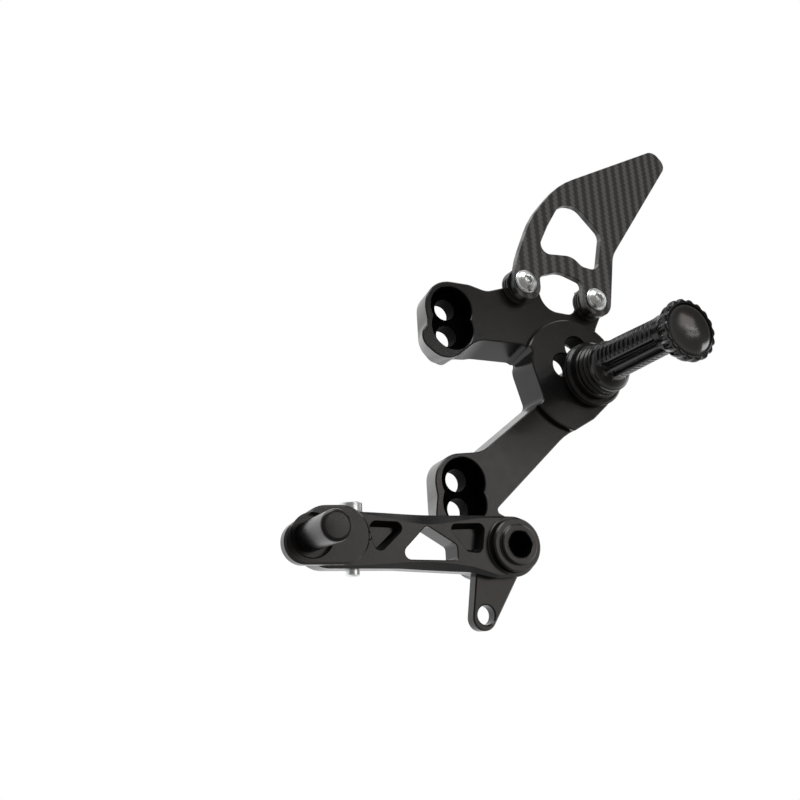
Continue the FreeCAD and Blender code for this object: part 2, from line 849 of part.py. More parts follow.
# ---------------------------------------------------------------- toe piece
def carrier_outline():
    """Corners of the eccentric plate that carries the toe peg."""
    return [
        (-56.6, -97.4, 12.0),
        (-56.6, -121.9, 11.4),
        (-93.6, -121.9, 9.0),
        (-93.2, -108.2, 8.4),
        (-79.2, -98.1, 12.0),
    ]


def make_toe_carrier():
    body = new_body("toe_carrier", depth=carrier_back)
    outline = new_sketch(body, "outline")
    draw_loop(outline, carrier_outline())
    pad(outline, cell("carrier_thick"))
    spigot = new_sketch(body, "spigot", f"-{cell('spigot_long')}")
    draw_circle(spigot, "spigot_radius", "clamp_x", "clamp_z")
    pad(spigot, f"{cell('spigot_long')} + 1.0")
    recess = new_sketch(body, "recess", cell("carrier_thick"))
    draw_circle(recess, "recess_radius", "toe_x", "toe_z")
    cut(recess, cell("recess_deep"))
    screw = new_sketch(body, "stud_hole")
    draw_circle(screw, "toe_stud_hole_radius", "toe_x", "toe_z")
    cut(screw, cell("carrier_thick"), outboard=True)


def make_toe_peg():
    floor = f"{carrier_back} + {cell('carrier_thick')} - {cell('recess_deep')}"
    body = new_body("toe_peg", x=cell("toe_x"), depth=floor, z=cell("toe_z"))
    radius, long, hole = size("toe_radius"), size("toe_long"), size("toe_stud_hole_radius")
    turn_profile(body, "section", [
        (hole, 0, 0),
        (radius, 0, 0),
        (radius, long - 1.0, 0),
        (radius - 1.0, long, 0),
        (0, long, 0),
        (0, 12.0, 0),
        (hole, 12.0, 0),
    ])
    stud = new_body("toe_peg_stud", x=cell("toe_x"), depth=carrier_back, z=cell("toe_z"))
    section = new_sketch(stud, "section")
    draw_circle(section, "toe_stud_radius")
    pad(section, cell("toe_stud_long"))


def build():
    make_bracket_plate()
    make_heel_guard()
    make_guard_spacers()
    make_guard_screws()
    make_peg_base_flange()
    make_peg_lock_ring()
    make_foot_peg()
    make_peg_end_cap()
    make_peg_fasteners()
    make_shift_lever()
    washer("pivot_shim", "bush_bore_radius", "shim_radius", "shim_thick", x=cell("pivot_x"),
           depth=cell("plate_deep"), z=cell("pivot_z"))
    make_pivot_bush("pivot_bush_inboard", f"{lever_back} - {cell('bush_flange_thick')}", False)
    outer_start = f"{lever_front} + {cell('hub_ring_high')} - {cell('bush_long')}"
    make_pivot_bush("pivot_bush_outboard", outer_start, True)
    make_pivot_bolt()
    make_pinch_bolt()
    make_toe_carrier()
    make_toe_peg()


def check_and_export():
    """Stops on any feature that failed, then writes one file for each body."""
    doc.recompute()
    bodies = [item for item in doc.Objects if item.TypeId == "PartDesign::Body"]
    for item in doc.Objects:
        if "Invalid" in item.State or "Error" in item.State:
            raise RuntimeError(f"{item.Name} did not compute: {item.State}")
    for body in bodies:
        if body.Shape.isNull() or not body.Shape.isValid():
            raise RuntimeError(f"{body.Label} has no valid shape")
    os.makedirs("parts", exist_ok=True)
    for body in bodies:
        body.Shape.exportStep(f"parts/{body.Label}.step")


build()
check_and_export()
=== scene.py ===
import json
import math

import bmesh
import bpy
from mathutils import Matrix, Vector
from mathutils.geometry import tessellate_polygon


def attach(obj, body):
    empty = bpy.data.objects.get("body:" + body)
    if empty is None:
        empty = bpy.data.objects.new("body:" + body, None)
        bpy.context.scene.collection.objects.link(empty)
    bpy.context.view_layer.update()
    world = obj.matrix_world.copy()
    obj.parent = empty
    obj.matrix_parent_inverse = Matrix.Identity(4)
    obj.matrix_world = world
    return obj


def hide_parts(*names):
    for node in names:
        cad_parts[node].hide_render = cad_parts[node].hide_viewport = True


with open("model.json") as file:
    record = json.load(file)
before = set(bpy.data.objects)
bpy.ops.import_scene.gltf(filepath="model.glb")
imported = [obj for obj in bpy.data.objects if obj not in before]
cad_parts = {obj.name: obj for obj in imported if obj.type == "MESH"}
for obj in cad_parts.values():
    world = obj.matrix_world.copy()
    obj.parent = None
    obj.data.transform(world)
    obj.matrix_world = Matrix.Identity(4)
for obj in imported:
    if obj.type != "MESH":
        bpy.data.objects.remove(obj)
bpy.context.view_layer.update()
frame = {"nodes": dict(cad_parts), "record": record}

# The looks of a motorcycle's rear foot-peg assembly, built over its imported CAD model.
# Shapes are drawn looking at the motorcycle from outside: x to the rear, z up, both in
# millimetres. "Depth" is the distance outboard, along -Y, of the face that meets the frame.

MM = 0.001
ARC_STEP = 7.0
HOLE_POINTS = 64
SHARP_ANGLE = 28


# ---------------------------------------------------------------- outlines
def rounded(corners):
    """A closed outline of straight runs joined by tangent arcs; corners are (x, z, radius)."""
    loop = []
    count = len(corners)
    for i, (x, z, radius) in enumerate(corners):
        here = Vector((x, z))
        back = (Vector(corners[i - 1][:2]) - here).normalized()
        ahead = (Vector(corners[(i + 1) % count][:2]) - here).normalized()
        half = back.angle(ahead) / 2
        centre = here + (back + ahead).normalized() * (radius / math.sin(half))
        spoke = here + back * (radius / math.tan(half)) - centre
        left_turn = ahead.x * back.y - ahead.y * back.x > 0
        sweep = (math.pi - 2 * half) * (1 if left_turn else -1)
        steps = max(1, math.ceil(abs(math.degrees(sweep)) / ARC_STEP)) if radius else 0
        for k in range(steps + 1):
            turn = Matrix.Rotation(sweep * k / max(steps, 1), 2)
            loop.append(tuple(centre + turn @ spoke))
    return tidy(loop)


def tidy(loop):
    """The loop without repeated points."""
    return [p for i, p in enumerate(loop) if math.dist(p, loop[i - 1]) > 1e-3]


def round_hole(x, z, radius):
    return [polar(x, z, radius, 2 * math.pi * k / HOLE_POINTS) for k in range(HOLE_POINTS)]


def polar(x, z, radius, angle):
    return (x + radius * math.cos(angle), z + radius * math.sin(angle))


def arc(x, z, radius, start, end, count):
    """Points from one angle to another, in radians, both ends included."""
    return [polar(x, z, radius, start + (end - start) * k / count) for k in range(count + 1)]


def area(loop):
    return sum(a[0] * b[1] - b[0] * a[1] for a, b in zip(loop, loop[1:] + loop[:1])) / 2


def inset(loop, distance):
    """The closed loop moved towards its inside, by one distance or by one for each point."""
    side = 1 if area(loop) > 0 else -1
    moved = []
    for i, point in enumerate(loop):
        a, b, c = Vector(loop[i - 1]), Vector(point), Vector(loop[(i + 1) % len(loop)])
        before = (b - a).orthogonal().normalized()
        after = (c - b).orthogonal().normalized()
        normal = (before + after).normalized()
        by = distance[i] if isinstance(distance, list) else distance
        moved.append(tuple(b + normal * side * by / max(0.4, normal.dot(before))))
    return moved


def subdivide(loop, longest):
    """The loop with long straight runs divided, so that a varying bevel can follow it."""
    made = []
    for a, b in zip(loop, loop[1:] + loop[:1]):
        parts = math.ceil(math.dist(a, b) / longest)
        made += [(a[0] + (b[0] - a[0]) * k / parts, a[1] + (b[1] - a[1]) * k / parts)
                 for k in range(parts)]
    return made


def smooth_step(value, start, end):
    t = min(1, max(0, (value - start) / (end - start)))
    return t * t * (3 - 2 * t)


def counterclockwise(loop):
    return loop if area(loop) > 0 else loop[::-1]


# ---------------------------------------------------------------- sizes
# bracket plate
PLATE_FRONT = 17.0
BOSS_FRONT = 20.0
BOSS = (68.5, -24.5, 30.0)
BREAK = 0.55
PIVOT = (15.2, -113.5)
FRAME_PAIRS = (0.0, -87.0)
FRAME_PITCH = 14.0
FRAME_HOLE_RADIUS = 5.5
POCKET_FLOOR = 9.2
POCKET_RADIUS = 11.3
POCKET_OFFSET = 5.2
PAD_RADIUS = 11.4
HOLLOW = (70.0, -20.5, 21.0)
HOLLOW_DEEP = 9.0
GAP_LEAN = 4.5
# ears and heel guard
EAR_BACK = 9.0
EAR_PAD_FRONT = 18.0
EAR_SPANS = ((29.5, 40), (66, 81))
EAR_STEP = [(79.0, 9.0), (34.0, 9.0), (29.5, 13.5)]
EAR_LEAN = 5.2
GUARD_SCREWS = ((39.5, 21.1), (82.9, 17.0))
GUARD_HOLE_RADIUS = 3.1
GUARD_BACK = 21.5
GUARD_FRONT = 25.0
# foot peg
PEG_AXIS = (76.8, -24.4)
PEG_SEAT = (8.6, 12.0)
SPARE_REACH = 16.0
SPARE_RADIUS = 6.3
SPARE_HOLES = [polar(*PEG_AXIS, SPARE_REACH, math.radians(angle)) for angle in (115, 164)]
FLANGE_FRONT = 25.5
RING_FRONT = 28.5
GRIP_FOOT = 9.0
GRIP_TOP = 55.0
CAP_BACK = 86.0
CAP_FRONT = 94.0
CAP_DROP = 1.3
CAP_LIP = 12.5
DISH_DEEP = 5.0
# shift lever and toe piece
LEVER_BACK = 18.5
LEVER_FRONT = 30.5
HUB_FRONT = 31.3
HUB_BORE = 8.0
TAB_FRONT = 24.5
ROD_HOLE = (2.4, -143.0, 4.25)
CLAMP = (-71.5, -110.9)
CLAMP_BORE = 8.0
CARRIER_BACK = 30.8
CARRIER_FRONT = 36.8
TOE = (-81.5, -110.4)
TOE_SEAT = 33.6
TOE_TIP = 64.6


# ---------------------------------------------------------------- solids
class Solid:
    """Rings of points at a depth, the walls between rings, and the caps that close them."""

    def __init__(self):
        self.points = []
        self.faces = []

    def ring(self, loop, depth):
        """Adds a loop at one depth, or at one depth for each point."""
        first = len(self.points)
        for i, (x, z) in enumerate(loop):
            d = depth[i] if isinstance(depth, list) else depth
            self.points.append((x * MM, -d * MM, z * MM))
        return list(range(first, len(self.points)))

    def wall(self, a, b, closed=True):
        for i in range(len(a) if closed else len(a) - 1):
            j = (i + 1) % len(a)
            self.faces.append((a[i], a[j], b[j], b[i]))

    def walls(self, rings):
        for a, b in zip(rings, rings[1:]):
            self.wall(a, b)

    def cap(self, outer, holes=()):
        rings = [outer, *holes]
        order = [i for ring in rings for i in ring]
        lines = [[Vector(self.points[i]) for i in ring] for ring in rings]
        self.faces += [tuple(order[k] for k in face) for face in tessellate_polygon(lines)]

    def edge_rings(self, loop, back, front, break_back, break_front):
        """The wall of a plate with broken edges; returns its back and front rings."""
        rings = [
            self.ring(inset(loop, break_back), back),
            self.ring(loop, back + break_back),
            self.ring(loop, front - break_front),
            self.ring(inset(loop, break_front), front),
        ]
        self.walls(rings)
        return rings[0], rings[-1]

    def mouth_rings(self, loop, back, front, break_back, break_front):
        """The wall of a hole that widens at its mouths; returns its back and front rings."""
        rings = []
        if break_back:
            rings.append(self.ring(inset(loop, -break_back), back))
        rings.append(self.ring(loop, back + break_back))
        rings.append(self.ring(loop, front - break_front))
        if break_front:
            rings.append(self.ring(inset(loop, -break_front), front))
        self.walls(rings)
        return rings[0], rings[-1]

    def lathe(self, x, z, profile, count=72):
        """Turns (radius, depth) pairs about an outboard axis; a radius may depend on the angle."""
        rings = []
        for radius, depth in profile:
            reach = radius if callable(radius) else (lambda angle, r=radius: r)
            angles = [2 * math.pi * k / count for k in range(count)]
            loop = [polar(x, z, max(reach(a), 1e-4), a) for a in angles]
            rings.append(self.ring(loop, depth))
        self.walls(rings)
        if profile[0][0] == profile[-1][0] != 0.0:
            self.wall(rings[-1], rings[0])
        else:
            self.faces.append(tuple(rings[0]))
            self.faces.append(tuple(rings[-1]))


def hexagon_reach(across_flats):
    """Distance from the axis to the wall of a hexagon socket, by angle."""
    def reach(angle):
        from_flat = (angle % (math.pi / 3)) - math.pi / 6
        return across_flats / 2 / math.cos(from_flat)
    return reach


def piece(name, solid, body, slot, materials, nodes):
    """Makes the solid a visible piece that rides on a body and stands for CAD nodes."""
    mesh = bpy.data.meshes.new(name)
    mesh.from_pydata(solid.points, [], solid.faces)
    work = bmesh.new()
    work.from_mesh(mesh)
    bmesh.ops.remove_doubles(work, verts=work.verts, dist=2e-6)
    bmesh.ops.recalc_face_normals(work, faces=work.faces)
    work.to_mesh(mesh)
    work.free()
    mesh.shade_smooth()
    mesh.set_sharp_from_angle(angle=math.radians(SHARP_ANGLE))
    mesh.materials.append(materials[slot])
    obj = bpy.data.objects.new(name, mesh)
    bpy.context.collection.objects.link(obj)
    weighted = obj.modifiers.new("weighted", "WEIGHTED_NORMAL")
    weighted.keep_sharp = True
    weighted.weight = 80
    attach(obj, body)
    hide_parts(*nodes)


# ---------------------------------------------------------------- materials
class Shader:
    """A procedural material written as short calls, one per node."""

    def __init__(self, name):
        self.material = bpy.data.materials.new(name)
        self.material.use_nodes = True
        self.tree = self.material.node_tree
        self.shader = self.tree.nodes["Principled BSDF"]
        self.place = self.node("ShaderNodeTexCoord").outputs["Object"]

    def node(self, kind, **settings):
        made = self.tree.nodes.new(kind)
        for key, value in settings.items():
            setattr(made, key, value)
        return made

    def feed(self, socket, value):
        if isinstance(value, bpy.types.NodeSocket):
            self.tree.links.new(value, socket)
        else:
            socket.default_value = value

    def math(self, operation, a, b=0.0, c=0.0):
        made = self.node("ShaderNodeMath", operation=operation)
        for socket, value in zip(made.inputs, (a, b, c)):
            self.feed(socket, value)
        return made.outputs[0]

    def noise(self, scale, detail=2.0, roughness=0.5, stretch=(1, 1, 1), turn=(0, 0, 0)):
        mapping = self.node("ShaderNodeMapping")
        self.feed(mapping.inputs["Vector"], self.place)
        mapping.inputs["Scale"].default_value = stretch
        mapping.inputs["Rotation"].default_value = turn
        made = self.node("ShaderNodeTexNoise")
        self.feed(made.inputs["Vector"], mapping.outputs[0])
        made.inputs["Scale"].default_value = scale
        made.inputs["Detail"].default_value = detail
        made.inputs["Roughness"].default_value = roughness
        return made.outputs["Fac"]

    def ramp(self, value, low, high, start, end):
        """Maps start..end of a value onto low..high."""
        made = self.node("ShaderNodeMapRange", clamp=True)
        for socket, number in zip(made.inputs, (value, start, end, low, high)):
            self.feed(socket, number)
        return made.outputs[0]

    def axes(self):
        """The x, y and z of the shaded point, in metres."""
        split = self.node("ShaderNodeSeparateXYZ")
        self.feed(split.inputs[0], self.place)
        return split.outputs

    def in_circle(self, across, up, radius):
        """1 where two offsets in metres lie within a radius in millimetres, else 0."""
        square = self.math("MULTIPLY_ADD", across, across, self.math("MULTIPLY", up, up))
        return self.math("LESS_THAN", square, (radius * MM) ** 2)

    def near(self, x, z, radius):
        """1 within a circle drawn in millimetres, else 0."""
        place_x, _, place_z = self.axes()
        across = self.math("SUBTRACT", place_x, x * MM)
        up = self.math("SUBTRACT", place_z, z * MM)
        return self.in_circle(across, up, radius)

    def mix(self, factor, a, b):
        made = self.node("ShaderNodeMix", data_type="RGBA")
        self.feed(made.inputs[0], factor)
        self.feed(made.inputs[6], (*a, 1) if isinstance(a, tuple) else a)
        self.feed(made.inputs[7], (*b, 1) if isinstance(b, tuple) else b)
        return made.outputs[2]

    def bump(self, height, distance, strength=1.0, under=None):
        made = self.node("ShaderNodeBump")
        self.feed(made.inputs["Height"], height)
        made.inputs["Distance"].default_value = distance
        made.inputs["Strength"].default_value = strength
        if under is not None:
            self.feed(made.inputs["Normal"], under)
        return made.outputs[0]

    def set(self, **inputs):
        for name, value in inputs.items():
            socket = self.shader.inputs[name.replace("_", " ")]
            if isinstance(value, tuple) and len(value) == 3:
                value = (*value, 1)
            self.feed(socket, value)
        return self.material


def in_plate_holes(s):
    """1 within the frame bolts' pockets and the spare holes for the peg, else 0; there the walls get
    painted shade.
    """
    x, _, z = s.axes()
    half_span = (FRAME_PAIRS[0] - FRAME_PAIRS[1]) / 2 * MM
    from_middle = s.math("ABSOLUTE", s.math("ADD", z, half_span))
    from_pair = s.math("ABSOLUTE", s.math("SUBTRACT", from_middle, half_span))
    from_pocket = s.math("SUBTRACT", from_pair, POCKET_OFFSET * MM)
    mask = s.in_circle(x, from_pocket, POCKET_RADIUS + 0.1)
    for hole_x, hole_z in SPARE_HOLES:
        mask = s.math("MAXIMUM", mask, s.near(hole_x, hole_z, SPARE_RADIUS + 0.3))
    return mask


def in_bolt_socket(s):
    """1 within the socket of the lever's pivot bolt, else 0; there the socket gets painted shade."""
    return s.near(*PIVOT, 6.1)


def in_cap_dish(s):
    """1 within the dished face of the foot peg's cap, else 0; there the dish gets a painted sheen."""
    x, z = PEG_AXIS
    _, y, _ = s.axes()
    outboard = s.math("LESS_THAN", y, -(CAP_FRONT - DISH_DEEP - 0.5) * MM)
    return s.math("MULTIPLY", outboard, s.near(x, z - CAP_DROP, CAP_LIP - 0.2))


# painted light on an anodised surface: where, the colour, how much rougher, how metallic. The holes
# and the bolt's socket get painted shade, the cap's dish a painted sheen.
# Near-black, non-reflecting walls in the plate's holes and pockets: painted shade.
PAINTED_SHADE_HOLES = (in_plate_holes, (0.003, 0.003, 0.003), 0.55, 1.0)
# A near-black, non-reflecting socket: painted shade.
PAINTED_SHADE_SOCKET = (in_bolt_socket, (0.003, 0.003, 0.003), 0.55, 1.0)
# The dish's lighter, more metallic colour is a painted sheen.
PAINTED_SHEEN_DISH = (in_cap_dish, (0.085, 0.085, 0.087), 0.02, 0.9)


def anodised(name, dark, light, rough=(0.22, 0.27), painted_light=None):
    """Dyed anodised aluminium: nearly black, satin, with a fine blasted grain."""
    s = Shader(name)
    cloud = s.noise(38, 3, 0.55)
    grain = s.noise(2600, 2, 0.6)
    rub = s.noise(160, 4, 0.6)
    colour = s.mix(s.ramp(cloud, 0, 1, 0.35, 0.7), dark, light)
    worn = s.ramp(rub, *rough, 0.35, 0.68)
    worn = s.math("ADD", worn, s.ramp(grain, -0.01, 0.01, 0.3, 0.7))
    metal = 0.25
    grain_height = 0.000004
    # Painted light: the patch's colour, roughness and metalness blacken holes as painted shade or
    # lighten the cap's dish as a painted sheen.
    if painted_light:
        where, painted_colour, rougher, painted_metal = painted_light
        inside = where(s)
        colour = s.mix(inside, colour, painted_colour)
        worn = s.math("MULTIPLY_ADD", inside, rougher, worn)
        metal = s.math("MULTIPLY_ADD", inside, painted_metal - metal, metal)
    return s.set(Base_Color=colour, Metallic=metal, Roughness=worn,
                 Normal=s.bump(grain, grain_height))


def turned_metal(name, dark, light, rough=(0.22, 0.34), metallic=0.8):
    """Turned metal, with the fine rings that a tool leaves about an outboard axis."""
    s = Shader(name)
    rub = s.noise(220, 3, 0.6)
    grain = s.noise(900, 2, 0.5, stretch=(0.25, 5.0, 0.25))
    colour = s.mix(s.ramp(rub, 0, 1, 0.3, 0.7), dark, light)
    worn = s.ramp(rub, *rough, 0.3, 0.7)
    return s.set(Base_Color=colour, Metallic=metallic, Roughness=worn, Normal=s.bump(grain, 0.00001))


def carbon(name):
    """Carbon laminate, a two-by-two twill with its tows at 45 degrees and a semi-matt resin; its
    lighter and darker tows, bands and fibre streaks are painted sheen, its darker tow edges painted
    shade.
    """
    s = Shader(name)
    tow_width = 0.00198
    x, _, z = s.axes()
    wander = s.math("MULTIPLY", s.math("SUBTRACT", s.noise(55, 2), 0.5), 0.0011)
    x = s.math("ADD", x, wander)
    scale = 1 / (tow_width * math.sqrt(2))
    u = s.math("MULTIPLY", s.math("ADD", x, z), scale)
    v = s.math("MULTIPLY", s.math("SUBTRACT", x, z), scale)
    column, row = s.math("FLOOR", u), s.math("FLOOR", v)
    across_u = s.math("SUBTRACT", s.math("FRACT", u), 0.5)
    across_v = s.math("SUBTRACT", s.math("FRACT", v), 0.5)
    step = s.math("FLOORED_MODULO", s.math("ADD", column, row), 4.0)
    warp_up = s.math("LESS_THAN", step, 1.5)

    def crown(across):
        return s.math("SUBTRACT", 1.0, s.math("MULTIPLY", s.math("MULTIPLY", across, across), 3.2))

    def pick(a, b):
        gap = s.math("SUBTRACT", a, b)
        return s.math("MULTIPLY_ADD", gap, warp_up, b)

    fibre_u, fibre_v = (
        s.noise(1, 2, 0.5, stretch=(5200, 1, 500), turn=(0, math.radians(degrees), 0))
        for degrees in (45, -45)
    )
    fibre = pick(fibre_u, fibre_v)
    tow = pick(crown(across_u), crown(across_v))
    height = s.math("MULTIPLY_ADD", fibre, 0.12, tow)
    # Painted sheen: the warp-up tows and the fibre streaks are drawn lighter, as if catching the
    # light. The ramp below darkens the tows' edges as painted shade, and the sine lays painted sheen
    # in vertical light and dark bands.
    painted_sheen = s.math("MULTIPLY_ADD", warp_up, 0.5, s.math("MULTIPLY", fibre, 0.4))
    tow_edge_shade = s.ramp(tow, 0.6, 1.0, 0.3, 0.75)
    phase = s.math("MULTIPLY_ADD", s.math("ADD", u, v), math.pi / 2, -math.pi / 4)
    sheen_band = s.ramp(s.math("SINE", phase), 0.12, 1.0, -0.8, 0.5)
    painted_sheen = s.math("MULTIPLY", s.math("MULTIPLY", painted_sheen, tow_edge_shade), sheen_band)
    # Painted sheen: the dark and light colours of the tows stand in for how the fibres catch the
    # light.
    colour = s.mix(painted_sheen, (0.008, 0.0085, 0.009), (0.14, 0.14, 0.14))
    rough = s.math("SUBTRACT", 0.5, s.math("MULTIPLY", painted_sheen, 0.16))
    resin = s.noise(420, 2, 0.5)
    under = s.bump(height, 0.00005, 0.8)
    return s.set(
        Base_Color=colour,
        Roughness=rough,
        Normal=s.bump(resin, 0.00001, 1.0, under),
        Coat_Weight=0.25,
        Coat_Roughness=0.3,
    )


def zinc(name):
    """Bright zinc plate, bluish, with faint handling marks."""
    s = Shader(name)
    cloud = s.noise(420, 4, 0.6)
    colour = s.mix(s.ramp(cloud, 0, 1, 0.3, 0.7), (0.62, 0.67, 0.68), (0.82, 0.85, 0.85))
    rough = s.ramp(cloud, 0.36, 0.22, 0.3, 0.7)
    return s.set(Base_Color=colour, Metallic=1.0, Roughness=rough, Normal=s.bump(cloud, 0.000004))


def make_materials():
    dye = ((0.009, 0.009, 0.0095), (0.015, 0.0145, 0.014))
    return {
        # The plate's holes and the bolt's socket carry painted shade, the peg cap's dish a painted
        # sheen.
        "plate_anodised": anodised("plate_anodised", *dye, painted_light=PAINTED_SHADE_HOLES),
        "lever_anodised": anodised("lever_anodised", *dye, painted_light=PAINTED_SHADE_SOCKET),
        "peg_anodised": anodised("peg_anodised", (0.006, 0.006, 0.006), (0.011, 0.011, 0.011),
                                 rough=(0.16, 0.24), painted_light=PAINTED_SHEEN_DISH),
        "toe_anodised": anodised("toe_anodised", *dye),
        "ring_metal": turned_metal("ring_metal", (0.008, 0.008, 0.0085), (0.02, 0.0195, 0.019),
                                   rough=(0.16, 0.24), metallic=0.4),
        "carbon_laminate": carbon("carbon_laminate"),
        "zinc_steel": zinc("zinc_steel"),
        "black_steel": turned_metal("black_steel", (0.01, 0.01, 0.011), (0.03, 0.03, 0.03),
                                    metallic=0.6),
        "bronze": turned_metal("bronze", (0.3, 0.19, 0.09), (0.5, 0.34, 0.18), metallic=1.0),
    }


# ---------------------------------------------------------------- bracket plate
PLATE = [
    (-16.8, 19.6, 15.0),
    (11.0, 19.2, 12.0),
    (21.0, 16.8, 10.0),
    (32.2, 20.5, 4.0),
    (38.0, 31.0, 6.5),
    (50.6, 31.0, 9.0),
    (55.6, 11.0, 10.5),
    (73.6, 10.2, 5.0),
    (78.4, 27.0, 6.0),
    (92.9, 27.0, 8.5),
    (92.3, 13.5, 6.0),
    (86.0, 1.8, 5.0),
    (95.5, -12.0, 16.0),
    (94.6, -31.5, 11.0),
    (86.0, -39.8, 8.0),
    (77.0, -47.4, 10.0),
    (59.3, -57.0, 30.0),
    (15.8, -95.5, 2.0),
    (27.8, -101.0, 12.0),
    (27.6, -126.0, 12.5),
    (2.2, -126.0, 12.5),
    (-3.0, -107.5, 4.5),
    (-16.9, -106.0, 9.5),
    (-14.2, -89.0, 7.0),
    (-17.0, -70.2, 14.5),
    (11.0, -67.2, 14.0),
    (47.6, -39.4, 4.0),
    (42.0, -20.0, 10.5),
    (44.8, -10.0, 5.0),
    (14.0, -10.0, 14.0),
    (-4.5, -24.5, 12.0),
    (-20.3, -12.0, 7.2),
    (-13.6, -4.2, 5.8),
]


def cut_by_circle(loop, x, z, radius):
    """Splits a loop where it crosses a circle, into runs of (is inside, points)."""
    def inside(point):
        return math.dist(point, (x, z)) < radius

    def crossing(a, b):
        low, high = 0.0, 1.0
        for _ in range(40):
            middle = (low + high) / 2
            point = tuple(p + (q - p) * middle for p, q in zip(a, b))
            if inside(point) == inside(a):
                low = middle
            else:
                high = middle
        return point

    start = next(i for i, p in enumerate(loop) if inside(p) and not inside(loop[i - 1]))
    loop = loop[start:] + loop[:start]
    runs = []
    current = [crossing(loop[-1], loop[0])]
    for i, point in enumerate(loop):
        following = loop[(i + 1) % len(loop)]
        current.append(point)
        if inside(point) != inside(following):
            cross = crossing(point, following)
            current.append(cross)
            runs.append((inside(point), tidy_run(current)))
            current = [cross]
    return runs


def tidy_run(run):
    """An open run without points that crowd together."""
    kept = [run[0]]
    for point in run[1:-1]:
        if math.dist(point, kept[-1]) > 0.05 and math.dist(point, run[-1]) > 0.05:
            kept.append(point)
    return kept + [run[-1]]


def figure_eight(z_mid):
    """The outline of the two overlapping pockets for a pair of frame bolts."""
    half = math.acos(POCKET_OFFSET / POCKET_RADIUS)
    quarter = math.pi / 2
    upper = arc(0, z_mid + POCKET_OFFSET, POCKET_RADIUS, half - quarter, 3 * quarter - half, 40)
    lower = arc(0, z_mid - POCKET_OFFSET, POCKET_RADIUS, half + quarter, 5 * quarter - half, 40)
    return tidy(upper + lower)


def in_ear(x, z):
    """Whether a point belongs to the ears that carry the guard, which are cut back from behind."""
    foot = 9.0 - 7.0 * smooth_step(x, 79, 86)
    return x > EAR_SPANS[0][0] and z > foot


def back_point(x, z):
    """Where a point of the plate's front outline lies on the back: the frame bosses taper to the
    round pads that meet the frame, the ears' forward edges lean to the rear, and the wall over
    the open gap leans down."""
    half_pitch = FRAME_PITCH / 2
    for z_mid in FRAME_PAIRS:
        near = Vector((0, min(max(z, z_mid - half_pitch), z_mid + half_pitch)))
        away = Vector((x, z)) - near
        weight = (1 - smooth_step(x, -4, 4)) * (1 - smooth_step(abs(z - z_mid), 19, 27))
        if away.length > PAD_RADIUS and weight:
            moved = near + away.normalized() * PAD_RADIUS
            return tuple(Vector((x, z)).lerp(moved, weight))
    for start, end in EAR_SPANS:
        if in_ear(x, z) and start < x < end:
            lean = smooth_step(x, start, start + 3) * (1 - smooth_step(x, end - 3, end))
            return (x + EAR_LEAN * lean, z)
    if -24 < z < -8 and x < 50:
        lean = smooth_step(x, 4, 15) * (1 - smooth_step(x, 41, 45)) * (1 - smooth_step(-z, 12, 20))
        return (x, z - GAP_LEAN * lean)
    return (x, z)


def boss_parts():
    """The plate's outline in parts: a run inside the boss's circle, the run outside it that
    follows, and the arc of the circle between the ends of that second run."""
    runs = cut_by_circle(subdivide(counterclockwise(rounded(PLATE)), 2.0), *BOSS)
    parts = []
    for (_, boss_run), (_, field_run) in zip(runs[::2], runs[1::2]):
        start, end = (math.atan2(z - BOSS[1], x - BOSS[0]) for x, z in (field_run[0], field_run[-1]))
        end += 2 * math.pi * (end < start)
        steps = math.ceil((end - start) / math.radians(5))
        parts.append((boss_run, field_run, arc(*BOSS, start, end, steps)[1:-1]))
    return parts


def draw_back(plate, outline):
    """The broken back edge and the step behind the ears; returns the back's and the ears' loops."""
    first = next(i for i, p in enumerate(outline) if in_ear(*outline[i - 1]) and not in_ear(*p))
    outline = outline[first:] + outline[:first]
    last = next(i for i, p in enumerate(outline) if in_ear(*p))
    deep = [0.0 if i < last else EAR_BACK for i in range(len(outline))]
    back_loop = [back_point(*p) for p in outline]
    inner = plate.ring(inset(back_loop, BREAK), deep)
    plate.wall(inner, plate.ring(back_loop, [d + BREAK for d in deep]))
    low_foot = plate.ring(EAR_STEP, 0.0)
    high_foot = plate.ring(EAR_STEP, EAR_BACK)
    low_step = [inner[last - 1], *low_foot, inner[0]]
    high_step = [inner[last], *high_foot, inner[-1]]
    plate.wall(low_step, high_step, closed=False)
    return inner[:last] + low_foot, inner[last:] + high_foot[::-1]


def draw_walls(plate, parts):
    """The outside walls up to the broken front edge; returns the loops of the front's fields."""
    def foot_of(run):
        heights = [BREAK + (EAR_BACK if in_ear(*p) else 0.0) for p in run]
        return plate.ring([back_point(*p) for p in run], heights)

    fields = []
    for boss_run, field_run, across in parts:
        plate.wall(foot_of(boss_run), plate.ring(boss_run, BOSS_FRONT - BREAK), closed=False)
        breaks = [0.0] + [BREAK] * (len(field_run) - 2) + [0.0]
        shoulder = plate.ring(field_run, [PLATE_FRONT - b for b in breaks])
        top = inset(field_run + across[::-1], breaks + [0.0] * len(across))
        front = plate.ring(top, PLATE_FRONT)
        plate.wall(foot_of(field_run), shoulder, closed=False)
        plate.wall(shoulder, front[:len(field_run)], closed=False)
        fields.append(front)
    return fields


def draw_boss(plate, parts):
    """The raised round boss: its wall across the plate and its broken edge; returns its crest."""
    whole = [p for boss_run, _, across in parts for p in boss_run + across]
    shoulder = plate.ring(whole, BOSS_FRONT - BREAK)
    crest = plate.ring(inset(whole, BREAK), BOSS_FRONT)
    plate.wall(shoulder, crest)
    for _, field_run, across in parts:
        line = [field_run[0], *across, field_run[-1]]
        plate.wall(plate.ring(line, PLATE_FRONT), plate.ring(line, BOSS_FRONT - BREAK), closed=False)
    return crest


